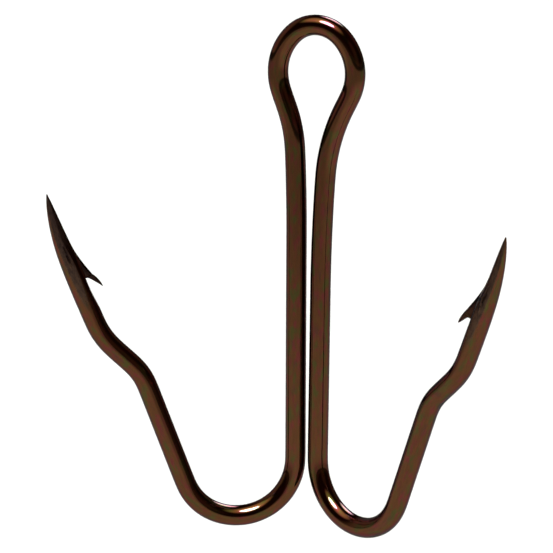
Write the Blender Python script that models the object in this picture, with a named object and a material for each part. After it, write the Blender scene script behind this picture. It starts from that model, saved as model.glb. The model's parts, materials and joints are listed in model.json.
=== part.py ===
"""Open-shank double fishing hook, bent from one steel wire.

Units are metres. The origin is the inside top of the eye, +Z runs up along the shanks, the eye lies in
the XZ plane and the two hooks open outwards and towards -Y.
Run with: blender --background --python part.py
"""
import math

import bmesh
import bpy
from mathutils import Matrix, Quaternion, Vector

MM = 0.001

# Wire
WIRE_RADIUS = 0.825 * MM
WIRE_BEVEL_STEPS = 4            # Blender turns this into a section with WIRE_SIDES sides
WIRE_SIDES = 12
BEND_EASE = 0.5 * MM            # half length over which a bend builds up or dies away
WALK_STEP = 0.05 * MM
MAX_SEGMENT = 2.5 * MM
MAX_SEGMENT_TURN = 7.5          # degrees
POINT_SEGMENT = 0.45 * MM

# Eye, each side walked from its top. The sides differ a little, as a hand-set former leaves them.
CROWN_FLAT = 0.3 * MM           # half of the straight piece of wire at the top of the eye
CROWN_RADIUS = 2.74 * MM
EYE_SIDES = {
    "left": {"crown_turn": 43.6, "side_radius": 4.53 * MM, "side_turn": 67.7, "flare": 1.3 * MM,
             "neck_radius": 11.1 * MM, "neck_turn": 18.5, "tail": 7.3 * MM, "tail_turn": 2.5,
             "shank": 18.33 * MM},
    "right": {"crown_turn": 45.4, "side_radius": 4.24 * MM, "side_turn": 71.3, "flare": 0.85 * MM,
              "neck_radius": 15.2 * MM, "neck_turn": 23.2, "tail": 9.2 * MM, "tail_turn": 3.2,
              "shank": 14.25 * MM},
}

# Hooks. The bend tightens a little on its way out, and the kink swings out sharper than it swings back.
HOOK_AZIMUTH = 25.0             # degrees each hook swings from the eye's plane towards -Y
BEND_RADIUS = 4.66 * MM
BEND_TURN = 114.8
BEND_EXIT_RADIUS = 4.26 * MM
BEND_EXIT_TURN = 44.6
ARM_LENGTH = 8.87 * MM
KINK_OUT_RADIUS = 4.5 * MM
KINK_OUT_TURN = 26.4
KINK_STRAIGHT = 2.1 * MM
KINK_IN_RADIUS = 6.05 * MM
KINK_IN_TURN = 24.6
POINT_LENGTH = 11.31 * MM       # straight wire from the second kink to the tip

# Point and barb. Distances named "back" run from the tip down the wire.
TAPER_LENGTH = 9.0 * MM
TAPER_POWER = 0.7
TIP_RADIUS = 0.03 * MM
TIP_OFFSET = 0.5 * MM           # how far the tip leans to the barb side of the wire's axis
LEAN_LENGTH = 5.8 * MM
LEAN_POWER = 0.85
# Middle of the barb's sliver: how far back, how far to the barb side, and its radius.
BARB_PATHS = {
    "left": [
        (5.6 * MM, -0.10 * MM, 0.20 * MM),
        (6.6 * MM, 0.22 * MM, 0.27 * MM),
        (7.4 * MM, 0.60 * MM, 0.25 * MM),
        (8.1 * MM, 0.95 * MM, 0.17 * MM),
        (8.7 * MM, 1.20 * MM, 0.04 * MM),
    ],
    "right": [
        (5.4 * MM, -0.05 * MM, 0.22 * MM),
        (6.4 * MM, 0.38 * MM, 0.30 * MM),
        (7.3 * MM, 0.80 * MM, 0.28 * MM),
        (8.2 * MM, 1.20 * MM, 0.17 * MM),
        (8.9 * MM, 1.44 * MM, 0.04 * MM),
    ],
}
BARB_BEVEL_STEPS = 2
CHEEK_START_BACK = 9.5 * MM     # where the ground flats run out of the round wire
CHEEK_TIP_HEIGHT = 0.14 * MM
NOTCH_ROOT_BACK = 7.6 * MM
NOTCH_END_BACK = 10.3 * MM
NOTCH_DEPTH = 0.13 * MM

# The loop is cut from the legs so that the legs can spring apart.
CUT_GAP = 0.3 * MM
SHOULDER_SLACK = 0.01           # how nearly upright the wire has to run to count as the shoulder

STEEL_COLOUR = (0.066, 0.027, 0.012, 1.0)


def clear_scene():
    for obj in list(bpy.data.objects):
        bpy.data.objects.remove(obj, do_unlink=True)


def make_collection(name):
    collection = bpy.data.collections.new(name)
    bpy.context.scene.collection.children.link(collection)
    return collection


def bronzed_steel(name):
    material = bpy.data.materials.new(name)
    material.use_nodes = True
    shader = material.node_tree.nodes["Principled BSDF"]
    shader.inputs["Base Color"].default_value = STEEL_COLOUR
    shader.inputs["Metallic"].default_value = 0.9
    shader.inputs["Roughness"].default_value = 0.25
    return material


def arc(radius, turn):
    """Length of a bend of this radius and turn in degrees."""
    return radius * math.radians(abs(turn))


def wire_moves(side):
    """The straights and bends of one half of the wire, from the top of the eye to a point.

    Each move is (length, turn, roll): turn is in degrees, and roll is the direction of the bend around
    the wire, where 0 is the inside of the eye.
    """
    eye = EYE_SIDES[side]
    hook_roll = 180.0 + HOOK_AZIMUTH
    return [
        (arc(CROWN_RADIUS, eye["crown_turn"]), eye["crown_turn"], 0.0),
        (arc(eye["side_radius"], eye["side_turn"]), eye["side_turn"], 0.0),
        (eye["flare"], 0.0, 0.0),
        (arc(eye["neck_radius"], eye["neck_turn"]), -eye["neck_turn"], 0.0),
        (eye["tail"], -eye["tail_turn"], 0.0),
        (eye["shank"], 0.0, 0.0),
        (arc(BEND_RADIUS, BEND_TURN), BEND_TURN, hook_roll),
        (arc(BEND_EXIT_RADIUS, BEND_EXIT_TURN), BEND_EXIT_TURN, hook_roll),
        (ARM_LENGTH, 0.0, 0.0),
        (arc(KINK_OUT_RADIUS, KINK_OUT_TURN), -KINK_OUT_TURN, hook_roll),
        (KINK_STRAIGHT, 0.0, 0.0),
        (arc(KINK_IN_RADIUS, KINK_IN_TURN), KINK_IN_TURN, hook_roll),
        (POINT_LENGTH, 0.0, 0.0),
    ]


def curvature(moves, s, frame):
    """Curvature vector of the eased bends at distance s, in a frame of (forward, normal, side)."""
    total = Vector((0.0, 0.0, 0.0))
    start = 0.0
    for length, turn, roll in moves:
        if turn:
            rise = 1.0 if start == 0.0 else math.tanh((s - start) / BEND_EASE)
            fall = math.tanh((s - start - length) / BEND_EASE)
            amount = math.radians(turn) / length * 0.5 * (rise - fall)
            angle = math.radians(roll)
            total += amount * (math.cos(angle) * frame[1] + math.sin(angle) * frame[2])
        start += length
    return total


def crown_height():
    """Height of the wire's axis at the top of the eye, which puts the facet under it at height 0."""
    return WIRE_RADIUS * math.cos(math.pi / WIRE_SIDES) + CROWN_FLAT ** 2 / (2.0 * CROWN_RADIUS)


def walk_wire(side):
    """Walk one half of the wire. Returns a list of (distance, place, forward, normal, side vector)."""
    moves = wire_moves(side)
    length = sum(move[0] for move in moves)
    place = Vector((0.0, 0.0, crown_height()))
    frame = [Vector((1.0, 0.0, 0.0)), Vector((0.0, 0.0, -1.0)), Vector((0.0, 1.0, 0.0))]
    steps = round(length / WALK_STEP)
    stations = [(0.0, place.copy(), *[axis.copy() for axis in frame])]
    for index in range(steps):
        bend = curvature(moves, (index + 0.5) * WALK_STEP, frame)
        half_turn = Quaternion(frame[0].cross(bend).normalized(), 0.5 * bend.length * WALK_STEP)
        half = half_turn.to_matrix()
        place = place + (half @ frame[0]) * WALK_STEP
        frame = [half @ (half @ axis) for axis in frame]
        stations.append(((index + 1) * WALK_STEP, place.copy(), *[axis.copy() for axis in frame]))
    if side == "left":
        stations = [(s, *[Vector((-v.x, v.y, v.z)) for v in vectors]) for s, *vectors in stations]
    return stations


def pick_stations(stations, first, last, point_from):
    """Thin the walk to short chords where the wire bends or tapers and long ones where it is straight."""
    picked = []
    for station in stations:
        if station[0] < first - 0.5 * WALK_STEP or station[0] > last + 0.5 * WALK_STEP:
            continue
        if picked:
            gap = station[0] - picked[-1][0]
            turn = math.degrees(picked[-1][2].angle(station[2], 0.0))
            limit = POINT_SEGMENT if station[0] > point_from else MAX_SEGMENT
            if gap < limit - 0.5 * WALK_STEP and turn < MAX_SEGMENT_TURN and station[0] < last - 0.5 * WALK_STEP:
                continue
        picked.append(station)
    return picked


def hook_inner(forward, side):
    """Unit vector across the point, towards the barb: square to the wire, in the hook's plane."""
    azimuth = math.radians(HOOK_AZIMUTH)
    inward = Vector((-math.cos(azimuth), math.sin(azimuth), 0.0))
    if side == "left":
        inward.x = -inward.x
    return (inward - inward.dot(forward) * forward).normalized()


def taper_radius(back):
    """Wire radius at a distance back from the tip."""
    if back >= TAPER_LENGTH:
        return WIRE_RADIUS
    share = math.sin(0.5 * math.pi * (back / TAPER_LENGTH) ** TAPER_POWER)
    return max(TIP_RADIUS, WIRE_RADIUS * share)


def lean(back):
    """How far the tapered point has moved to the barb side at a distance back from the tip."""
    if back >= LEAN_LENGTH:
        return 0.0
    return TIP_OFFSET * (1.0 - math.sin(0.5 * math.pi * (back / LEAN_LENGTH) ** LEAN_POWER))


def wire_mesh(name, places, radii, bevel_steps, tilt):
    """Mesh of a round wire through these places, from a bevelled poly curve with filled ends."""
    curve = bpy.data.curves.new(name + "_curve", "CURVE")
    curve.dimensions = "3D"
    curve.bevel_depth = WIRE_RADIUS
    curve.bevel_resolution = bevel_steps
    curve.use_fill_caps = True
    spline = curve.splines.new("POLY")
    spline.points.add(len(places) - 1)
    for point, place, radius in zip(spline.points, places, radii):
        point.co = (*place, 1.0)
        point.radius = radius / WIRE_RADIUS
        point.tilt = tilt
    holder = bpy.data.objects.new(name + "_curve", curve)
    bpy.context.scene.collection.objects.link(holder)
    depsgraph = bpy.context.evaluated_depsgraph_get()
    mesh = bpy.data.meshes.new_from_object(holder.evaluated_get(depsgraph))
    bpy.data.objects.remove(holder, do_unlink=True)
    bpy.data.curves.remove(curve)
    work = bmesh.new()
    work.from_mesh(mesh)
    bmesh.ops.remove_doubles(work, verts=work.verts, dist=0.001 * MM)
    bmesh.ops.recalc_face_normals(work, faces=work.faces)
    work.to_mesh(mesh)
    work.free()
    mesh.name = name
    for face in mesh.polygons:
        face.use_smooth = True
    return mesh


def place_mesh(name, mesh, origin, material, collection):
    """Object with its origin on the joint's axis and its mesh left where it was in the world."""
    mesh.transform(Matrix.Translation(-origin))
    mesh.materials.append(material)
    obj = bpy.data.objects.new(name, mesh)
    obj.location = origin
    collection.objects.link(obj)
    return obj


def box_cutter(name, size, matrix, collection):
    mesh = bpy.data.meshes.new(name)
    work = bmesh.new()
    bmesh.ops.create_cube(work, size=1.0)
    bmesh.ops.scale(work, verts=work.verts, vec=size)
    work.to_mesh(mesh)
    work.free()
    return add_tool(name, mesh, matrix, collection)


def add_tool(name, mesh, matrix, collection):
    """Boolean tool: never rendered, shown as a wire frame."""
    tool = bpy.data.objects.new(name, mesh)
    tool.matrix_world = matrix
    tool.hide_render = True
    tool.display_type = "WIRE"
    collection.objects.link(tool)
    return tool


def add_boolean(obj, tool, operation):
    modifier = obj.modifiers.new(tool.name, "BOOLEAN")
    modifier.operation = operation
    modifier.solver = "EXACT"
    modifier.object = tool


def point_matrix(tip, forward, inner):
    """Frame at the tip: x runs back down the wire, y towards the barb, z square to the hook's plane."""
    back = -forward
    turn = Matrix((back, inner, back.cross(inner))).transposed()
    return Matrix.Translation(tip) @ turn.to_4x4()


def add_barb(leg, name, path, point, collection):
    """Raised sliver of the barb, joined to the inner side of the point."""
    places = [Vector((back, rise, 0.0)) for back, rise, _ in path]
    radii = [radius for _, _, radius in path]
    mesh = wire_mesh(name, places, radii, BARB_BEVEL_STEPS, 0.0)
    add_boolean(leg, add_tool(name, mesh, point, collection), "UNION")


def cut_notch(leg, name, point, collection):
    """Shallow slope left under the barb, where the sliver was raised from the wire."""
    length = NOTCH_END_BACK - NOTCH_ROOT_BACK
    slope = math.atan2(NOTCH_DEPTH, length)
    surface = WIRE_RADIUS - TIP_OFFSET
    size = Vector((length, 4.0 * WIRE_RADIUS, 4.0 * WIRE_RADIUS))
    corner = Vector((NOTCH_ROOT_BACK, surface - NOTCH_DEPTH, 0.0))
    centre = Matrix.Translation(Vector((0.5 * size.x, 0.5 * size.y, 0.0)))
    tilt = Matrix.Rotation(slope, 4, "Z")
    matrix = point @ Matrix.Translation(corner) @ tilt @ centre
    add_boolean(leg, box_cutter(name, size, matrix, collection), "DIFFERENCE")


def cut_cheeks(leg, name, point, collection):
    """The two ground flats that narrow the point from both sides of the hook's plane."""
    slope = math.atan2(WIRE_RADIUS - CHEEK_TIP_HEIGHT, CHEEK_START_BACK)
    size = Vector((2.0 * CHEEK_START_BACK, 6.0 * WIRE_RADIUS, 2.0 * WIRE_RADIUS))
    for label, way in (("front", 1.0), ("back", -1.0)):
        lift = Matrix.Translation(Vector((0.0, 0.0, way * (CHEEK_TIP_HEIGHT + 0.5 * size.z))))
        tilt = Matrix.Rotation(-way * slope, 4, "Y")
        tool = box_cutter(name + "_" + label, size, point @ tilt @ lift, collection)
        add_boolean(leg, tool, "DIFFERENCE")


def shoulder_distance(stations):
    """Distance along the half wire to the widest part of the eye, where the wire first heads straight down."""
    return next(distance for distance, _, forward, *_ in stations if abs(forward.x) < SHOULDER_SLACK)


def build_leg(side, stations, cut, material, collection, tools):
    """One leg: the lower side of the eye, the shank, the bend, the kinked arm and the barbed point."""
    length = stations[-1][0]
    picked = pick_stations(stations, cut + 0.5 * CUT_GAP, length, length - TAPER_LENGTH - POINT_SEGMENT)
    forward = picked[-1][2]
    inner = hook_inner(forward, side)
    places = []
    radii = []
    for distance, place, *_ in picked:
        back = length - distance
        places.append(place + lean(back) * inner)
        radii.append(taper_radius(back))
    name = side + "_leg"
    pivot = next(station[1] for station in stations if station[0] >= cut)
    leg = place_mesh(name, wire_mesh(name, places, radii, WIRE_BEVEL_STEPS, 0.0), pivot, material, collection)
    point = point_matrix(places[-1], forward, inner)
    add_barb(leg, side + "_barb", BARB_PATHS[side], point, tools)
    cut_notch(leg, side + "_notch", point, tools)
    cut_cheeks(leg, side + "_cheek", point, tools)
    return leg


def build_eye_loop(walks, cuts, material, collection):
    """Top arch of the eye, from shoulder to shoulder."""
    places = []
    for side in ("left", "right"):
        picked = pick_stations(walks[side], CROWN_FLAT, cuts[side] - 0.5 * CUT_GAP, math.inf)
        half = [station[1] for station in picked]
        places += half[::-1] if side == "left" else half
    mesh = wire_mesh("eye_loop", places, [WIRE_RADIUS] * len(places), WIRE_BEVEL_STEPS, math.pi / WIRE_SIDES)
    return place_mesh("eye_loop", mesh, Vector((0.0, 0.0, 0.0)), material, collection)


def build():
    clear_scene()
    hook = make_collection("double_hook")
    tools = make_collection("cutters")
    walks = {side: walk_wire(side) for side in EYE_SIDES}
    cuts = {side: shoulder_distance(walks[side]) for side in EYE_SIDES}
    build_eye_loop(walks, cuts, bronzed_steel("eye_loop_steel"), hook)
    for side in EYE_SIDES:
        leg = build_leg(side, walks[side], cuts[side], bronzed_steel(side + "_leg_steel"), hook, tools)
        print(side, "pivot", [round(value / MM, 4) for value in leg.location])


build()
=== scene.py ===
"""Looks of the open-shank double fishing hook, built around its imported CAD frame.

The hook is one bronzed steel wire. It is shown as three pieces that meet without a visible seam: the arch of
the eye and the two legs. Each piece follows the same bends as its CAD solid, with a round section, ground
flats at the points and raised barbs. Lengths are in metres.
"""

import json
import math

import bmesh
import bpy
import numpy as np
from mathutils import Matrix, Vector

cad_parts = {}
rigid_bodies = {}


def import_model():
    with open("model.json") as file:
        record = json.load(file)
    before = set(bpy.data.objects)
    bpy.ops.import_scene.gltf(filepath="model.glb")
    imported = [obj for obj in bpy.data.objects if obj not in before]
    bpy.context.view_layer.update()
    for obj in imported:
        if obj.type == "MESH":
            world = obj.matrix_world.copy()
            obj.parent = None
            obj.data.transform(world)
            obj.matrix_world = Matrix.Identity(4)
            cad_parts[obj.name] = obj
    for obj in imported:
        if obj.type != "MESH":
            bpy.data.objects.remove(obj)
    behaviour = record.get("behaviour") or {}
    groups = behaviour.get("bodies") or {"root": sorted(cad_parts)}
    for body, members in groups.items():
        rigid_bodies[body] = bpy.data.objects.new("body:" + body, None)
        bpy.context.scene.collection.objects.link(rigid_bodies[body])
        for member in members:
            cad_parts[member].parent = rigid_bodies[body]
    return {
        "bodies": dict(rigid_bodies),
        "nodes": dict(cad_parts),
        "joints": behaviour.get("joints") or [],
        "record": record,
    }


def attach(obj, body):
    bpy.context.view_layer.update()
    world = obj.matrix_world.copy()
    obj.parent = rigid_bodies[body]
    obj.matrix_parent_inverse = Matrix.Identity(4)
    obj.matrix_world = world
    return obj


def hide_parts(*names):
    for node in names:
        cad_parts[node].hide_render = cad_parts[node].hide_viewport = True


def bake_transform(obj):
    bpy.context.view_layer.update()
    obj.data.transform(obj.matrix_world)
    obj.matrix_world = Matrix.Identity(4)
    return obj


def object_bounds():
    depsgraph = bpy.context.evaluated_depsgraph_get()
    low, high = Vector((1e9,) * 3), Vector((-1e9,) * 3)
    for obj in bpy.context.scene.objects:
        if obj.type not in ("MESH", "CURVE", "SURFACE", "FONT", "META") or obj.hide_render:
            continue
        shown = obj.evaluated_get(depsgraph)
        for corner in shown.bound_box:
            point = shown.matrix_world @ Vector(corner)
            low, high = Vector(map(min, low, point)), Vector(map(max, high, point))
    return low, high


MM = 0.001

# Wire
WIRE_RADIUS = 0.825 * MM
CAD_SECTION_SIDES = 12
BEND_EASE = 0.5 * MM            # half length over which a bend builds up or dies away
WALK_STEP = 0.05 * MM

# Eye, each side walked from its top
CROWN_FLAT = 0.3 * MM           # half of the straight piece of CAD wire at the top of the eye
CROWN_RADIUS = 2.74 * MM
EYE_SIDES = {
    "left": {"crown_turn": 43.6, "side_radius": 4.53 * MM, "side_turn": 67.7, "flare": 1.3 * MM,
             "neck_radius": 11.1 * MM, "neck_turn": 18.5, "tail": 7.3 * MM, "tail_turn": 2.5,
             "shank": 18.33 * MM},
    "right": {"crown_turn": 45.4, "side_radius": 4.24 * MM, "side_turn": 71.3, "flare": 0.85 * MM,
              "neck_radius": 15.2 * MM, "neck_turn": 23.2, "tail": 9.2 * MM, "tail_turn": 3.2,
              "shank": 14.25 * MM},
}

# Hooks
HOOK_AZIMUTH = 25.0             # degrees each hook swings from the eye's plane towards -Y
BEND_RADIUS = 4.66 * MM
BEND_TURN = 114.8
BEND_EXIT_RADIUS = 4.26 * MM
BEND_EXIT_TURN = 44.6
ARM_LENGTH = 8.87 * MM
KINK_OUT_RADIUS = 4.5 * MM
KINK_OUT_TURN = 26.4
KINK_STRAIGHT = 2.1 * MM
KINK_IN_RADIUS = 6.05 * MM
KINK_IN_TURN = 24.6
POINT_LENGTH = 11.31 * MM

# Points. "Back" is the distance from the tip down the wire, and "height" is across it, towards the barb.
# The barb is a sliver of the inner side, cut free behind its root and raised: "edge" and "under" are
# (back, height) along its edge and its underside, from the root to its tip.
POINTS = {
    "left": {"tip_radius": 0.05 * MM, "taper_power": 0.70, "lean_length": 5.8 * MM,
             "barb_start": 4.3 * MM, "barb_power": 1.8,
             "edge": ((7.48 * MM, 1.35 * MM), (7.9 * MM, 1.56 * MM),
                      (8.35 * MM, 1.70 * MM), (8.72 * MM, 1.745 * MM)),
             "under": ((7.48 * MM, 0.71 * MM), (7.62 * MM, 0.96 * MM),
                       (8.2 * MM, 1.38 * MM), (8.69 * MM, 1.69 * MM))},
    "right": {"tip_radius": 0.08 * MM, "taper_power": 0.66, "lean_length": 6.5 * MM,
              "barb_start": 4.2 * MM, "barb_power": 1.4,
              "edge": ((7.8 * MM, 1.76 * MM), (8.3 * MM, 1.92 * MM),
                       (8.7 * MM, 2.02 * MM), (9.08 * MM, 2.04 * MM)),
              "under": ((7.8 * MM, 0.71 * MM), (7.95 * MM, 1.10 * MM),
                        (8.4 * MM, 1.52 * MM), (9.04 * MM, 1.91 * MM))},
}
TAPER_LENGTH = 9.0 * MM
TIP_OFFSET = 0.5 * MM
LEAN_POWER = 0.85
FLAT_LENGTH = 10.5 * MM         # the two ground flats run out of the round wire here
FLAT_POWER = 1.9
FLAT_TIP_HALF = 0.05 * MM
FLAT_END_FADE = 2.0 * MM
WEDGE_LENGTH = 3.3 * MM         # the inner edge is ground to a wedge over this length
WEDGE_FADE = 3.6 * MM
WEDGE_WIDENING = 0.45           # takes the wedge's faces clear of the wire
EDGE_SOFTNESS = 0.035 * MM
WIDEST_FLAT = 0.97              # half thickness between the flats, at most this share of the radius
GROUND_EDGE = (0.93, 0.98)      # shares of the flats' half thickness between which a ground face begins
MIN_CORNER = 0.05               # least height of the wedge's corners, as a share of the radius
MIN_PROJECTION = 0.01           # keeps a cut's reach finite
MAX_REACH = 4.0 * WIRE_RADIUS
BARB_BLUNTNESS = 0.50 * MM      # how far above the barb's edge its two flanks would meet
BARB_EDGE_HALF = 0.12 * MM
BARB_RAISED = 0.01 * MM         # a corner this far outside the tapered wire is on the barb
BARB_TIP_WIDTH = 0.22           # share of the root's width
BARB_TAPER_POWER = 1.4
NOTCH_END_BACK = 10.3 * MM
NOTCH_DIP = 0.035 * MM

# Mesh
ROUND_RING_STEPS = 4            # walk steps between the rings of the round wire
POINT_RING = 0.09 * MM
BARB_RINGS = 18
FRONT_EDGES = 9                 # ring edges from the barb's edge line to the side of its root
WEDGE_EDGES = 6
FLAT_EDGES = 12
BACK_EDGES = 12
EVEN_BACK = 13.0 * MM           # rings further back than this have evenly spaced corners
EVEN_FADE = 2.2 * MM
TIP_RINGS = ((0.45, 0.85), (0.8, 0.5))  # rounding of the tip: (tip radii past the end, size)
SHARP_EDGE = 50.0               # degrees between two faces that meet in a sharp edge

# Height where the arch ends
ARCH_END = -1.0 * MM

# Colours of the bronze and of the ground steel
BRONZE = (0.0805, 0.0250, 0.0030, 1.0)
BRONZE_RED = (0.1040, 0.0150, 0.0100, 1.0)
BRONZE_OLIVE = (0.0510, 0.0400, 0.0030, 1.0)
BRONZE_VIOLET = (0.0620, 0.0190, 0.0110, 1.0)
EDGE_TINT = (0.25, 0.12, 0.07, 1.0)     # keeps the bronze from turning white where it is seen at a low angle
GROUND_DARK = (0.0460, 0.0260, 0.0180, 1.0)
GROUND_BROWN = (0.0780, 0.0420, 0.0250, 1.0)

# Surface
LACQUER = 0.3                   # weight of the clear coat
GROUND_LACQUER = 0.06
LACQUER_ROUGHNESS = 0.05
WIRE_ROUGHNESS = (0.06, 0.12)
GROUND_ROUGHNESS = 0.26         # added to the wire's
BUMP_DISTANCE = 0.0012 * MM
STREAK_DEPTH = 0.9              # depths of the marks, in bump distances
WAVE_DEPTH = 1.6
PIT_DEPTH = 0.6
GRINDING_DEPTH = 2.0

# Grain of the marks: how many features per millimetre round, round and along the wire
RED_GRAIN = (2.4, 2.4, 0.9)
OLIVE_GRAIN = (2.0, 2.0, -0.8)  # counted from the other end, so that it differs from the red one
VIOLET_GRAIN = (2.2, 2.2, 0.8)
SHADE_GRAIN = (6.0, 6.0, 1.1)
GRIT_GRAIN = (3.5, 3.5, 2.2)
STREAK_GRAIN = (13.0, 13.0, 0.35)
WAVE_GRAIN = (2.6, 2.6, 0.7)
PIT_GRAIN = (15.0, 15.0, 9.0)
GRINDING_GRAIN = (7.0, 7.0, 11.0)

# Levels of the noise between which a patch or a pit begins
RED_PATCH = (0.47, 0.68)
OLIVE_PATCH = (0.49, 0.68)
VIOLET_PATCH = (0.55, 0.75)
VIOLET_WEIGHT = 0.7
GRIT_PATCH = (0.36, 0.60)
PIT = (0.66, 0.80)
SHADE_NOISE = (0.30, 0.70)
SHADES = (0.88, 1.08)           # of the bronze, darkest and lightest
ROUGHNESS_NOISE = (0.30, 0.75)

# Camera
CAMERA_AZIMUTH = 19.377         # degrees from the eye's front towards +X
CAMERA_ELEVATION = 15.249
CAMERA_ROLL = 0.551
CAMERA_DISTANCE = 640.0 * MM
CAMERA_TARGET = Vector((-2.972 * MM, -0.843 * MM, -19.937 * MM))
CAMERA_LENS = 520.8             # millimetres, on a 36 mm sensor

# Floor
FLOOR_GAP = 30.0 * MM           # below the lowest point of the hook
FLOOR_SIZE = 24.0
FLOOR_ALBEDO = 0.4
FLOOR_VARIATION = 1.02
FLOOR_GRAIN = (3.0, 3.0, 3.0)
FLOOR_TINT = (1.0, 0.76, 0.46, 1.0)     # cancels the tint of the key light
FLOOR_RADIANCE = 0.62           # from the key light alone
FLOOR_PAINTED_POOL = (0.115, 0.235)     # as the wire mirrors the floor, its colour has a painted pool of light that fades between these distances
FLOOR_PAINTED_OUTER_SHARE = 0.58        # to this share of its brightness
FLOOR_PAINTED_SHADE = (0.46, 0.80)        # and then painted shade darkens it between these
FLOOR_PAINTED_SHADE_SHARE = 0.13
BLACK = (0.0, 0.0, 0.0, 1.0)

# Key light
KEY_AZIMUTH = 4.0
KEY_ELEVATION = 60.0
KEY_ANGLE = 27.0
KEY_COLOUR = (1.0, 1.43, 2.86)

# Studio that the wire mirrors. Angles are in degrees, and a facing is the cosine of an angle.
WALL_AZIMUTH = CAMERA_AZIMUTH - 130.0   # the dim pale wall behind and to the left
WALL_FACING = (0.55, 0.80)
WALL_TOP = (48.7, 63.0)
WALL_GLOW = 0.50
WALL_COLOUR = (1.0, 0.92, 0.86, 1.0)
HORIZON_TOP = 7.0
HORIZON_GLOW = 0.10
DARK_COLOUR = (0.045, 0.018, 0.010, 1.0)
BACKDROP_COLOUR = (1.05, 1.05, 1.05, 1.0)   # of the white paper that the camera sees above the floor

# Soft glows of the studio: azimuth, elevation, radius, brightness and colour
GLOWS = (
    (KEY_AZIMUTH + 12.0, 63.0, 32.0, 1.9, (1.0, 0.95, 0.60)),
    (-35.0, 66.0, 34.0, 2.6, (1.0, 0.98, 0.70)),
    (177.0, 42.0, 18.0, 18.0, (0.80, 1.35, 1.60)),
    (160.0, 20.0, 45.0, 0.22, (1.0, 0.80, 0.70)),
    (60.0, 13.0, 26.0, 0.12, (1.0, 0.80, 0.70)),
)


# ---------------------------------------------------------------------------------------------- wire

def arc(radius, turn):
    """Length of a bend of this radius and turn in degrees."""
    return radius * math.radians(abs(turn))


def wire_moves(side):
    """(length, turn, roll) of the straights and bends of one half of the wire, from the top of the eye."""
    eye = EYE_SIDES[side]
    hook_roll = 180.0 + HOOK_AZIMUTH
    return [
        (arc(CROWN_RADIUS, eye["crown_turn"]), eye["crown_turn"], 0.0),
        (arc(eye["side_radius"], eye["side_turn"]), eye["side_turn"], 0.0),
        (eye["flare"], 0.0, 0.0),
        (arc(eye["neck_radius"], eye["neck_turn"]), -eye["neck_turn"], 0.0),
        (eye["tail"], -eye["tail_turn"], 0.0),
        (eye["shank"], 0.0, 0.0),
        (arc(BEND_RADIUS, BEND_TURN), BEND_TURN, hook_roll),
        (arc(BEND_EXIT_RADIUS, BEND_EXIT_TURN), BEND_EXIT_TURN, hook_roll),
        (ARM_LENGTH, 0.0, 0.0),
        (arc(KINK_OUT_RADIUS, KINK_OUT_TURN), -KINK_OUT_TURN, hook_roll),
        (KINK_STRAIGHT, 0.0, 0.0),
        (arc(KINK_IN_RADIUS, KINK_IN_TURN), KINK_IN_TURN, hook_roll),
        (POINT_LENGTH, 0.0, 0.0),
    ]


def curvature(moves, distances):
    """Curvature of the eased bends at these distances: along the frame's normal and along its side vector."""
    bend = np.zeros((len(distances), 2))
    start = 0.0
    for length, turn, roll in moves:
        if turn:
            # The first bend is at its full strength from the start, where the two halves of the wire meet.
            rise = 1.0 if start == 0.0 else np.tanh((distances - start) / BEND_EASE)
            fall = np.tanh((distances - start - length) / BEND_EASE)
            amount = math.radians(turn) / length * 0.5 * (rise - fall)
            bend[:, 0] += amount * math.cos(math.radians(roll))
            bend[:, 1] += amount * math.sin(math.radians(roll))
        start += length
    return bend


def turned(vector, axis, angle):
    """The vector turned by this angle about a unit axis."""
    return (vector * math.cos(angle) + np.cross(axis, vector) * math.sin(angle)
            + axis * np.dot(axis, vector) * (1.0 - math.cos(angle)))


def walk_wire(side):
    """Walk one half of the wire from the top of the eye, with (forward, normal, side) frames on the way."""
    moves = wire_moves(side)
    steps = round(sum(move[0] for move in moves) / WALK_STEP)
    bends = curvature(moves, (np.arange(steps) + 0.5) * WALK_STEP)
    # This height of the axis puts the facet at the inside top of the CAD eye at height 0.
    height = WIRE_RADIUS * math.cos(math.pi / CAD_SECTION_SIDES) + CROWN_FLAT ** 2 / (2.0 * CROWN_RADIUS)
    place = np.array([0.0, 0.0, height])
    frame = np.array([[1.0, 0.0, 0.0], [0.0, 0.0, -1.0], [0.0, 1.0, 0.0]])
    places = [place]
    frames = [frame]
    for along_normal, along_side in bends:
        bend = along_normal * frame[1] + along_side * frame[2]
        size = np.linalg.norm(bend)
        axis = np.cross(frame[0], bend) / size if size > 0.0 else frame[2]
        half_turn = 0.5 * size * WALK_STEP
        place = place + turned(frame[0], axis, half_turn) * WALK_STEP
        frame = np.array([turned(row, axis, 2.0 * half_turn) for row in frame])
        places.append(place)
        frames.append(frame)
    places = np.array(places)
    frames = np.array(frames)
    if side == "left":
        places[:, 0] *= -1.0
        frames[:, :, 0] *= -1.0
    return {"side": side, "along": np.arange(steps + 1) * WALK_STEP, "places": places, "frames": frames}


def barb_roll(walk):
    """Angle round the wire from the frame's normal, through its side vector, to the barb's side."""
    forward, normal, side = walk["frames"][-1]
    azimuth = math.radians(HOOK_AZIMUTH)
    inward = np.array([-math.cos(azimuth), math.sin(azimuth), 0.0])
    if walk["side"] == "left":
        inward[0] *= -1.0
    return math.atan2(inward.dot(side), inward.dot(normal))


def first_below(walk, height):
    """Index of the first station of the walk that is lower than this height."""
    return int(np.argmax(walk["places"][:, 2] < height))


# ------------------------------------------------------------------------------------------- section

def smooth_step(x):
    """Goes smoothly from 0 to 1 as x does, and stays there outside."""
    x = np.clip(x, 0.0, 1.0)
    return x * x * (3.0 - 2.0 * x)


def soft_min(a, b, softness):
    """The smaller of a and b, rounded where they cross."""
    return 0.5 * (a + b - np.sqrt((a - b) ** 2 + softness ** 2))


def soft_max(a, b, softness):
    """The larger of a and b, rounded where they cross."""
    return 0.5 * (a + b + np.sqrt((a - b) ** 2 + softness ** 2))


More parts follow.
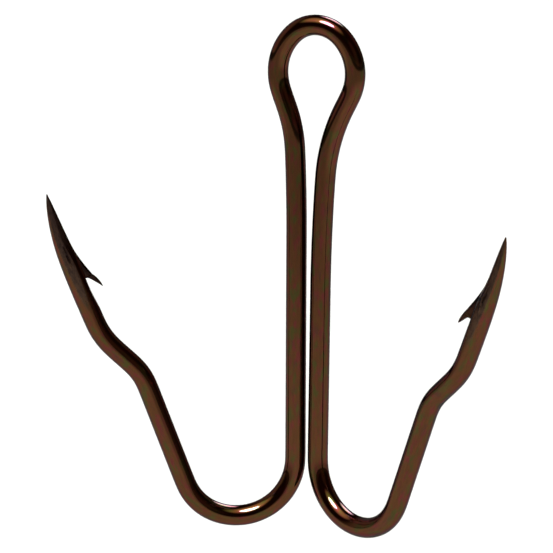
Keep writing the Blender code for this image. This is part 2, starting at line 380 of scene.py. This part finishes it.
def flat_half(back):
    """Half the thickness between the two ground flats."""
    share = max(0.0, 1.0 - back / FLAT_LENGTH) ** FLAT_POWER
    return WIRE_RADIUS - (WIRE_RADIUS - FLAT_TIP_HALF) * share


def flat_left(back):
    """Goes from 1 to 0 where the ground flats run out of the round wire."""
    return float(smooth_step((FLAT_LENGTH - back) / FLAT_END_FADE))


def wedge_faded(back):
    """Goes from 0 to 1 where the wedge of the inner edge runs out of the wire."""
    return float(smooth_step((back - WEDGE_LENGTH) / WEDGE_FADE))


def cut_reach(distance, projection):
    """Reach of the section along directions that meet a flat cut at this distance from the wire's axis."""
    return np.minimum(distance / np.maximum(projection, MIN_PROJECTION), MAX_REACH)


class Point:
    """Shape of one point and its barb. Places in it are given as (back, height, offset)."""

    def __init__(self, walk):
        self.side = walk["side"]
        self.sign = 1.0 if self.side == "right" else -1.0
        self.length = walk["along"][-1]
        self.tip = walk["places"][-1]
        self.roll = barb_roll(walk)
        self.forward, normal, side = walk["frames"][-1]
        self.up = math.cos(self.roll) * normal + math.sin(self.roll) * side
        self.across = np.cross(self.forward, self.up)
        self.shape = POINTS[self.side]
        self.root_back, self.root_height = self.shape["under"][0]
        root_radius = self.radius(self.root_back)
        self.root_half = math.sqrt(root_radius ** 2 - self.root_height ** 2)
        self.barb_rise = self.shape["edge"][0][1] - root_radius

    def rolls(self, angles):
        """Angles round the wire of these angles from the barb's side."""
        return self.roll + self.sign * np.asarray(angles)

    def place(self, back, height, offset):
        """Place in the frame of this place on the point."""
        return self.tip - back * self.forward + height * self.up + offset * self.across

    def radius(self, back):
        """Radius of the tapered wire."""
        share = math.sin(0.5 * math.pi * min(1.0, back / TAPER_LENGTH) ** self.shape["taper_power"])
        return math.hypot(self.shape["tip_radius"] * (1.0 - share), WIRE_RADIUS * share)

    def lean(self, back):
        """How far the tapered point has moved to the barb side."""
        share = min(1.0, back / self.shape["lean_length"]) ** LEAN_POWER
        return TIP_OFFSET * (1.0 - math.sin(0.5 * math.pi * share))

    def wedge_depth(self, back):
        """Height at which the two faces of the ground inner edge meet."""
        return self.radius(back) * (1.0 + WEDGE_WIDENING * wedge_faded(back))

    def notch_height(self, back):
        """Height of the shallow slope that the raised barb leaves behind its root."""
        share = (back - self.root_back) / (NOTCH_END_BACK - self.root_back)
        rise = (WIRE_RADIUS - self.root_height) * share ** 2
        return self.root_height + rise - NOTCH_DIP * math.sin(math.pi * share)

    def barb_reach(self, cosine, sine, back):
        """Reach of the barb: two flanks, and a narrow wedge along its edge."""
        share = (back - self.shape["barb_start"]) / (self.root_back - self.shape["barb_start"])
        height = self.radius(back) + self.barb_rise * share ** self.shape["barb_power"]
        flank_height = height + BARB_BLUNTNESS * share
        # The slope of a flank is its offset over its height: 1 at the start, and the root's at the root.
        slope = self.root_half / (self.shape["edge"][0][1] + BARB_BLUNTNESS - self.root_height)
        slope = 1.0 + (slope - 1.0) * float(smooth_step(share))
        flanks = flank_height * slope / np.maximum(sine + cosine * slope, MIN_PROJECTION)
        edge = height / np.maximum(sine + cosine, MIN_PROJECTION)
        return np.where(cosine > 0.0, np.minimum(flanks, edge), 0.0)

    def angles(self, back):
        """Angles of a ring's corners from the barb's side, with corners on the edges of the ground flats.

        The first 2 * FRONT_EDGES + 1 corners lie between the two sides of the barb's root, and the rest go
        round the back of the wire.
        """
        radius = self.radius(back)
        half = min(flat_half(back), WIDEST_FLAT * radius)
        flat = math.asin(half / radius)
        corner = min(self.wedge_depth(back) - half, math.sqrt(radius ** 2 - half ** 2))
        inner = math.atan2(half, max(corner, MIN_CORNER * radius))
        breaks = np.array([math.atan2(self.root_half, self.root_height), inner, math.pi - flat, math.pi])
        counts = np.array([FRONT_EDGES, WEDGE_EDGES, FLAT_EDGES, BACK_EDGES])
        even = np.cumsum(counts) / counts.sum() * math.pi
        breaks += (even - breaks) * float(smooth_step((back - EVEN_BACK + EVEN_FADE) / EVEN_FADE))
        steps = [np.linspace(start, end, count + 1)[1:]
                 for start, end, count in zip(np.append(0.0, breaks), breaks, counts)]
        side = np.concatenate([[0.0], *steps])
        front = np.concatenate([-side[FRONT_EDGES:0:-1], side[:FRONT_EDGES + 1]])
        return np.concatenate([front, side[FRONT_EDGES + 1:], -side[-2:FRONT_EDGES:-1]])

    def section(self, angles, back, ahead):
        """Outline of the ground point, as heights and offsets.

        Ahead of the root it takes in the barb, and behind the root it takes in the slope below the barb.
        """
        radius = self.radius(back)
        cosine = np.cos(angles)
        sine = np.abs(np.sin(angles))
        softness = EDGE_SOFTNESS * radius / WIRE_RADIUS * flat_left(back)
        reach = np.full(len(angles), radius)
        if back < FLAT_LENGTH:
            reach = soft_min(reach, cut_reach(flat_half(back), sine), softness)
        if back < WEDGE_LENGTH + WEDGE_FADE:
            reach = soft_min(reach, cut_reach(self.wedge_depth(back), cosine + sine), softness)
        if ahead and back > self.shape["barb_start"]:
            flanks = self.barb_reach(cosine, sine, back) - 0.5 * EDGE_SOFTNESS
            reach = soft_max(reach, flanks, 0.5 * EDGE_SOFTNESS)
        if not ahead and back < NOTCH_END_BACK:
            reach = np.minimum(reach, cut_reach(self.notch_height(back), cosine))
        return reach * cosine, reach * np.sin(angles)

    def ground_share(self, back, heights, offsets, ahead):
        """How far each corner of a ring is on a ground face: the two flats, the wedge or a barb's flank."""
        start, end = GROUND_EDGE
        ground = smooth_step((np.abs(offsets) / flat_half(back) - start) / (end - start))
        ground = np.maximum(ground, np.where(heights > 0.0, 1.0 - wedge_faded(back), 0.0))
        if ahead:
            raised = np.hypot(heights, offsets) > self.radius(back) + BARB_RAISED
            ground = np.maximum(ground, raised & (np.abs(offsets) > BARB_EDGE_HALF))
        return ground * flat_left(back)

    def ring(self, plan, back, ahead, size=1.0):
        """Add the ring at this place. Past the end of the wire it keeps the end's outline, at this size."""
        inside = max(back, 0.0)
        angles = self.angles(inside)
        heights, offsets = self.section(angles, inside, ahead)
        lean = self.lean(inside)
        corners = [self.place(back, lean + size * h, size * o) for h, o in zip(heights, offsets)]
        ground = self.ground_share(inside, heights, offsets, ahead)
        return plan.add_ring(corners, self.rolls(angles), self.sign * (self.length - back), ground)


# ---------------------------------------------------------------------------------------------- mesh

class MeshPlan:
    """Corners and faces of one piece. Each corner also keeps its place on the straightened wire."""

    def __init__(self):
        self.corners = []
        self.wire = []
        self.ground = []
        self.faces = []

    def add_ring(self, corners, rolls, along, ground=None):
        """Add a ring of corners, given also by their angles round the wire and distance along it."""
        first = len(self.corners)
        self.corners.extend(tuple(corner) for corner in corners)
        for roll in rolls:
            self.wire.append((WIRE_RADIUS * math.cos(roll), WIRE_RADIUS * math.sin(roll), along))
        self.ground.extend(np.zeros(len(corners)) if ground is None else ground)
        return list(range(first, len(self.corners)))

    def bridge(self, ring_a, ring_b):
        """Quads between two closed rings with as many corners."""
        for i in range(len(ring_a)):
            j = (i + 1) % len(ring_a)
            self.faces.append((ring_a[i], ring_a[j], ring_b[j], ring_b[i]))

    def cap(self, ring):
        """One face across a ring."""
        self.faces.append(tuple(ring))


def round_ring(walk, index, rolls):
    """Corners of a round ring of wire, at these angles from the frame's normal to its side vector."""
    _, normal, side = walk["frames"][index]
    centre = walk["places"][index]
    return [centre + WIRE_RADIUS * (math.cos(roll) * normal + math.sin(roll) * side) for roll in rolls]


def arch_plan(walks, ends):
    """The arch of the eye, from the left leg over the top to the right leg."""
    plan = MeshPlan()
    count = 2 * (FRONT_EDGES + WEDGE_EDGES + FLAT_EDGES + BACK_EDGES)
    rolls = np.arange(count) * 2.0 * math.pi / count
    stations = [("left", index) for index in range(ends["left"], 0, -ROUND_RING_STEPS)]
    stations += [("right", index) for index in range(ends["right"], -1, -ROUND_RING_STEPS)][::-1]
    previous = None
    for side, index in stations:
        walk = walks[side]
        along = walk["along"][index] * (1.0 if side == "right" else -1.0)
        ring = plan.add_ring(round_ring(walk, index, rolls), rolls, along)
        if previous:
            plan.bridge(previous, ring)
        else:
            plan.cap(ring)
        previous = ring
    plan.cap(previous)
    return plan


def curve_place(points, share):
    """(back, height) on a smooth curve through the given points."""
    points = np.array(points)
    points = np.vstack([2.0 * points[0] - points[1], points, 2.0 * points[-1] - points[-2]])
    place = share * (len(points) - 3)
    first = min(int(place), len(points) - 4)
    u = place - first
    a, b, c, d = points[first:first + 4]
    return 0.5 * (2.0 * b + (c - a) * u + (2.0 * a - 5.0 * b + 4.0 * c - d) * u ** 2
                  + (3.0 * b - a - 3.0 * c + d) * u ** 3)


def leg_plan(walk, first):
    """One leg, from the end of the arch to the tip of its point."""
    plan = MeshPlan()
    point = Point(walk)
    front_count = 2 * FRONT_EDGES + 1
    round_end = int((point.length - FLAT_LENGTH) / WALK_STEP) - ROUND_RING_STEPS

    previous = None
    for index in list(range(first, round_end, ROUND_RING_STEPS)) + [round_end]:
        rolls = point.rolls(point.angles(point.length - walk["along"][index]))
        ring = plan.add_ring(round_ring(walk, index, rolls), rolls, point.sign * walk["along"][index])
        if previous:
            plan.bridge(previous, ring)
        else:
            plan.cap(ring)
        previous = ring

    for back in ring_places(point.length - walk["along"][round_end], point.root_back):
        ring = point.ring(plan, back, ahead=False)
        plan.bridge(previous, ring)
        previous = ring
    behind_root = previous

    # The ring ahead of the root shares its back with the ring behind it, and its front rises over the barb.
    angles = point.angles(point.root_back)[:front_count]
    heights, offsets = point.section(angles, point.root_back, True)
    over = [point.place(point.root_back, h, o) for h, o in zip(heights[1:-1], offsets[1:-1])]
    lifted = plan.add_ring(over, point.rolls(angles[1:-1]), point.sign * (point.length - point.root_back))
    over_root = [behind_root[0]] + lifted + [behind_root[front_count - 1]]
    add_barb(plan, point, over_root, behind_root[:front_count], heights, offsets)
    previous = over_root + behind_root[front_count:]
    for back in ring_places(point.root_back, 0.0):
        ring = point.ring(plan, back, ahead=True)
        plan.bridge(previous, ring)
        previous = ring
    for back, size in TIP_RINGS:
        ring = point.ring(plan, -back * point.shape["tip_radius"], ahead=True, size=size)
        plan.bridge(previous, ring)
        previous = ring
    plan.cap(previous)
    return plan


def ring_places(start, end):
    """Evenly spaced places after start, down to end."""
    return np.linspace(start, end, round((start - end) / POINT_RING) + 1)[1:]


def add_barb(plan, point, over_root, under_root, heights, offsets):
    """The free sliver behind the root, with two flanks that meet at its edge and a flat underside."""
    rise = np.clip((heights - point.root_height) / (heights.max() - point.root_height), 0.0, 1.0)
    under_offsets = np.linspace(offsets[0], offsets[-1], len(offsets))
    rolls = point.rolls(np.concatenate([np.arctan2(offsets, heights), np.zeros(len(offsets) - 2)]))
    ground = np.concatenate([np.abs(offsets) > BARB_EDGE_HALF, np.ones(len(offsets) - 2)])
    previous = over_root + under_root[-2:0:-1]
    for step in range(1, BARB_RINGS + 1):
        share = step / BARB_RINGS
        edge = curve_place(point.shape["edge"], share)
        under = curve_place(point.shape["under"], share)
        width = 1.0 + (BARB_TIP_WIDTH - 1.0) * share ** BARB_TAPER_POWER
        corners = [point.place(*(under + f * (edge - under)), width * o) for f, o in zip(rise, offsets)]
        corners += [point.place(*under, width * o) for o in under_offsets[-2:0:-1]]
        ring = plan.add_ring(corners, rolls, point.sign * (point.length - under[0]), ground)
        plan.bridge(ring, previous)
        previous = ring
    plan.cap(previous)


def make_piece(name, plan):
    """Object with the planned mesh, smooth apart from its real edges, and its attributes for the material."""
    mesh = bpy.data.meshes.new(name)
    mesh.from_pydata(plan.corners, [], plan.faces)
    work = bmesh.new()
    work.from_mesh(mesh)
    bmesh.ops.recalc_face_normals(work, faces=work.faces)
    work.to_mesh(mesh)
    work.free()
    wire = mesh.attributes.new("wire", "FLOAT_VECTOR", "POINT")
    wire.data.foreach_set("vector", np.array(plan.wire, np.float32).ravel() / MM)
    ground = mesh.attributes.new("ground", "FLOAT", "POINT")
    ground.data.foreach_set("value", np.array(plan.ground, np.float32))
    mesh.shade_smooth()
    mesh.set_sharp_from_angle(angle=math.radians(SHARP_EDGE))
    obj = bpy.data.objects.new(name, mesh)
    bpy.context.scene.collection.objects.link(obj)
    return obj


# ------------------------------------------------------------------------------------------ material

class Nodes:
    """Short calls to add and link shader nodes."""

    def __init__(self, owner):
        owner.use_nodes = True
        self.tree = owner.node_tree
        self.tree.nodes.clear()

    def add(self, kind, inputs=None, **settings):
        node = self.tree.nodes.new(kind)
        for key, value in settings.items():
            setattr(node, key, value)
        for key, value in (inputs or {}).items():
            if isinstance(value, bpy.types.NodeSocket):
                self.tree.links.new(value, node.inputs[key])
            else:
                node.inputs[key].default_value = value
        return node

    def math(self, operation, a, b=0.0):
        return self.add("ShaderNodeMath", {0: a, 1: b}, operation=operation).outputs[0]

    def ramp(self, value, low, high, out_low=0.0, out_high=1.0, kind="SMOOTHSTEP"):
        """Change from out_low to out_high as the value goes from low to high."""
        inputs = {0: value, 1: low, 2: high, 3: out_low, 4: out_high}
        return self.add("ShaderNodeMapRange", inputs, interpolation_type=kind).outputs[0]

    def grey(self, value):
        return self.add("ShaderNodeCombineColor", {0: value, 1: value, 2: value}).outputs[0]

    def mix(self, factor, a, b, blend_type="MIX"):
        node = self.add("ShaderNodeMix", data_type="RGBA", blend_type=blend_type, clamp_factor=False)
        for index, value in ((0, factor), (6, a), (7, b)):
            if isinstance(value, bpy.types.NodeSocket):
                self.tree.links.new(value, node.inputs[index])
            else:
                node.inputs[index].default_value = value
        return node.outputs[2]

    def noise(self, vector, grain, detail=2.0, roughness=0.5):
        """Noise from 0 to 1 with this many features per unit of the vector."""
        stretched = self.add("ShaderNodeVectorMath", {0: vector, 1: grain}, operation="MULTIPLY").outputs[0]
        inputs = {"Vector": stretched, "Scale": 1.0, "Detail": detail, "Roughness": roughness}
        return self.add("ShaderNodeTexNoise", inputs).outputs["Fac"]


def steel_colour(nodes, wire, ground, depth):
    """Brown with a faint red, olive and violet mottle, and a duller brown on the ground faces."""
    red = nodes.noise(wire, RED_GRAIN, detail=3.0)
    olive = nodes.noise(wire, OLIVE_GRAIN, detail=3.0)
    violet = nodes.noise(wire, VIOLET_GRAIN, detail=4.0, roughness=0.6)
    colour = nodes.mix(nodes.ramp(red, *RED_PATCH), BRONZE, BRONZE_RED)
    colour = nodes.mix(nodes.ramp(olive, *OLIVE_PATCH), colour, BRONZE_OLIVE)
    colour = nodes.mix(nodes.ramp(violet, *VIOLET_PATCH, 0.0, VIOLET_WEIGHT), colour, BRONZE_VIOLET)
    shade = nodes.ramp(depth, *SHADE_NOISE, *SHADES)
    colour = nodes.mix(1.0, colour, nodes.grey(shade), blend_type="MULTIPLY")
    grit = nodes.noise(wire, GRIT_GRAIN, detail=4.0, roughness=0.65)
    bare = nodes.mix(nodes.ramp(grit, *GRIT_PATCH), GROUND_DARK, GROUND_BROWN)
    return nodes.mix(ground, colour, bare)


def steel_marks(nodes, wire, ground):
    """Bump of the drawing streaks, waves and pits of the wire, and of the grinding marks at the point."""
    streaks = nodes.noise(wire, STREAK_GRAIN, detail=3.0, roughness=0.55)
    waves = nodes.noise(wire, WAVE_GRAIN, detail=2.0)
    pits = nodes.noise(wire, PIT_GRAIN, detail=2.0)
    drawn = nodes.math("ADD", nodes.math("MULTIPLY", streaks, STREAK_DEPTH),
                       nodes.math("MULTIPLY", waves, WAVE_DEPTH))
    drawn = nodes.math("SUBTRACT", drawn, nodes.math("MULTIPLY", nodes.ramp(pits, *PIT), PIT_DEPTH))
    grinding = nodes.noise(wire, GRINDING_GRAIN, detail=3.0)
    height = nodes.mix(ground, drawn, nodes.math("MULTIPLY", grinding, GRINDING_DEPTH))
    inputs = {"Strength": 1.0, "Distance": BUMP_DISTANCE, "Height": height}
    return nodes.add("ShaderNodeBump", inputs).outputs[0]


def bronzed_steel(name):
    """Drawn steel wire under a thin brown lacquer, with bare ground faces at the point."""
    material = bpy.data.materials.new(name)
    nodes = Nodes(material)
    wire = nodes.add("ShaderNodeAttribute", attribute_name="wire").outputs["Vector"]
    ground = nodes.add("ShaderNodeAttribute", attribute_name="ground").outputs["Fac"]
    depth = nodes.noise(wire, SHADE_GRAIN, detail=4.0, roughness=0.6)
    marks = steel_marks(nodes, wire, ground)
    rough = nodes.math("ADD", nodes.ramp(depth, *ROUGHNESS_NOISE, *WIRE_ROUGHNESS),
                       nodes.math("MULTIPLY", ground, GROUND_ROUGHNESS))
    shader = nodes.add("ShaderNodeBsdfPrincipled", {
        "Base Color": steel_colour(nodes, wire, ground, depth),
        "Metallic": 1.0,
        "Roughness": rough,
        "Specular Tint": EDGE_TINT,
        "Coat Weight": nodes.ramp(ground, 0.0, 1.0, LACQUER, GROUND_LACQUER, "LINEAR"),
        "Coat Roughness": LACQUER_ROUGHNESS,
        "Normal": marks,
        "Coat Normal": marks})
    nodes.add("ShaderNodeOutputMaterial", {"Surface": shader.outputs[0]})
    return material


def floor_material():
    """Matt pale floor, which the camera sees plain. In the wire's reflections its colour also holds a painted
    pool of light round the object and painted shade further out.
    """
    material = bpy.data.materials.new("pale_floor")
    nodes = Nodes(material)
    places = nodes.add("ShaderNodeTexCoord").outputs["Object"]
    cloud = nodes.noise(places, FLOOR_GRAIN)
    tone = nodes.ramp(cloud, *SHADE_NOISE, FLOOR_ALBEDO, FLOOR_VARIATION * FLOOR_ALBEDO)
    distance = nodes.add("ShaderNodeVectorMath", {0: places}, operation="LENGTH").outputs["Value"]
    # Painted light: rays that are not the camera's see a painted pool of light that fades, then painted
    # shade, on top of the floor's random tone
    painted_pool = nodes.ramp(distance, *FLOOR_PAINTED_POOL, 1.0, FLOOR_PAINTED_OUTER_SHARE)
    painted_light_and_shade = nodes.math("MULTIPLY", painted_pool, nodes.ramp(distance, *FLOOR_PAINTED_SHADE, 1.0, FLOOR_PAINTED_SHADE_SHARE))
    seen = nodes.add("ShaderNodeLightPath").outputs["Is Camera Ray"]
    tone = nodes.math("MULTIPLY", tone, nodes.math("MAXIMUM", painted_light_and_shade, seen))
    colour = nodes.mix(tone, BLACK, FLOOR_TINT)
    shader = nodes.add("ShaderNodeBsdfDiffuse", {"Color": colour})
    nodes.add("ShaderNodeOutputMaterial", {"Surface": shader.outputs[0]})
    return material


# --------------------------------------------------------------------------------------------- stage

def direction(azimuth, elevation):
    """Unit vector towards this azimuth, from the eye's front towards +X, and elevation."""
    a = math.radians(azimuth)
    e = math.radians(elevation)
    return Vector((math.sin(a) * math.cos(e), -math.cos(a) * math.cos(e), math.sin(e)))


def add_floor(height):
    """A square floor far larger than the hook, centred under the frame's origin."""
    mesh = bpy.data.meshes.new("floor")
    half = 0.5 * FLOOR_SIZE
    mesh.from_pydata([(-half, -half, 0.0), (half, -half, 0.0), (half, half, 0.0), (-half, half, 0.0)], [],
                     [(0, 1, 2, 3)])
    mesh.materials.append(floor_material())
    floor = bpy.data.objects.new("floor", mesh)
    floor.location.z = height
    bpy.context.scene.collection.objects.link(floor)


def add_key_light():
    """A large round softbox far away, bright enough to turn the floor white."""
    light = bpy.data.lights.new("key", "SUN")
    light.angle = math.radians(KEY_ANGLE)
    light.color = KEY_COLOUR
    light.energy = FLOOR_RADIANCE * math.pi / FLOOR_ALBEDO / math.sin(math.radians(KEY_ELEVATION))
    obj = bpy.data.objects.new("key", light)
    obj.rotation_euler = direction(KEY_AZIMUTH, KEY_ELEVATION).to_track_quat("Z", "Y").to_euler()
    bpy.context.scene.collection.objects.link(obj)


def facing(nodes, towards, azimuth, elevation):
    """Cosine of the angle between the mirrored direction and this one."""
    inputs = {0: towards, 1: direction(azimuth, elevation)}
    return nodes.add("ShaderNodeVectorMath", inputs, operation="DOT_PRODUCT").outputs["Value"]


def studio_world():
    """Dark studio with a dim pale wall behind and to the left, a faint horizon and a few soft glows.

    The wire mirrors it, and the camera sees plain white paper instead.
    """
    world = bpy.data.worlds.new("studio")
    nodes = Nodes(world)
    towards = nodes.add("ShaderNodeTexCoord").outputs["Generated"]
    parts = nodes.add("ShaderNodeSeparateXYZ", {0: towards}).outputs
    rise = nodes.math("ARCSINE", parts[2])
    wall_top = [math.radians(angle) for angle in WALL_TOP]
    wall_side = nodes.ramp(facing(nodes, towards, WALL_AZIMUTH, 0.0), *WALL_FACING)
    wall = nodes.math("MULTIPLY", wall_side, nodes.ramp(rise, *wall_top, WALL_GLOW, 0.0))
    horizon = nodes.ramp(rise, 0.0, math.radians(HORIZON_TOP), HORIZON_GLOW, 0.0)
    total = nodes.mix(nodes.math("ADD", wall, horizon), DARK_COLOUR, WALL_COLOUR, blend_type="ADD")
    for azimuth, elevation, radius, brightness, colour in GLOWS:
        edge = math.cos(math.radians(radius))
        share = nodes.ramp(facing(nodes, towards, azimuth, elevation), edge, 1.0, 0.0, brightness)
        total = nodes.mix(share, total, (*colour, 1.0), blend_type="ADD")
    seen = nodes.add("ShaderNodeLightPath").outputs["Is Camera Ray"]
    total = nodes.mix(seen, total, BACKDROP_COLOUR)
    background = nodes.add("ShaderNodeBackground", {"Color": total, "Strength": 1.0})
    nodes.add("ShaderNodeOutputWorld", {"Surface": background.outputs[0]})
    bpy.context.scene.world = world


def add_camera():
    """Camera a little above the hook and to the right of the eye's front, rolled slightly."""
    back = direction(CAMERA_AZIMUTH, CAMERA_ELEVATION)
    right = Vector((0.0, 0.0, 1.0)).cross(back).normalized()
    up = back.cross(right)
    roll = math.radians(CAMERA_ROLL)
    right, up = math.cos(roll) * right + math.sin(roll) * up, math.cos(roll) * up - math.sin(roll) * right
    data = bpy.data.cameras.new("camera")
    data.lens = CAMERA_LENS
    data.clip_start = 0.01
    data.clip_end = 100.0
    camera = bpy.data.objects.new("camera", data)
    rotation = Matrix((right, up, back)).transposed().to_4x4()
    camera.matrix_world = Matrix.Translation(CAMERA_TARGET + CAMERA_DISTANCE * back) @ rotation
    bpy.context.scene.collection.objects.link(camera)
    bpy.context.scene.camera = camera


# --------------------------------------------------------------------------------------------- build

def build_hook():
    """The three pieces of the wire, in place of the hidden CAD solids: the arch rides on the eye_loop body,
    and the legs are baked in place.
    """
    steel = bronzed_steel("bronzed_steel")
    walks = {side: walk_wire(side) for side in ("left", "right")}
    ends = {side: first_below(walk, ARCH_END) for side, walk in walks.items()}
    arch = make_piece("eye_loop_wire", arch_plan(walks, ends))
    arch.data.materials.append(steel)
    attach(arch, "eye_loop")
    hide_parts("eye_loop")
    for side, walk in walks.items():
        leg = make_piece(side + "_leg_wire", leg_plan(walk, ends[side]))
        leg.data.materials.append(steel)
        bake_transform(leg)
        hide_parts(side + "_leg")


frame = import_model()
cad_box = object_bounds()
build_hook()
add_floor(cad_box[0].z - FLOOR_GAP)
add_key_light()
studio_world()
add_camera()
bpy.context.scene.view_settings.view_transform = "Standard"
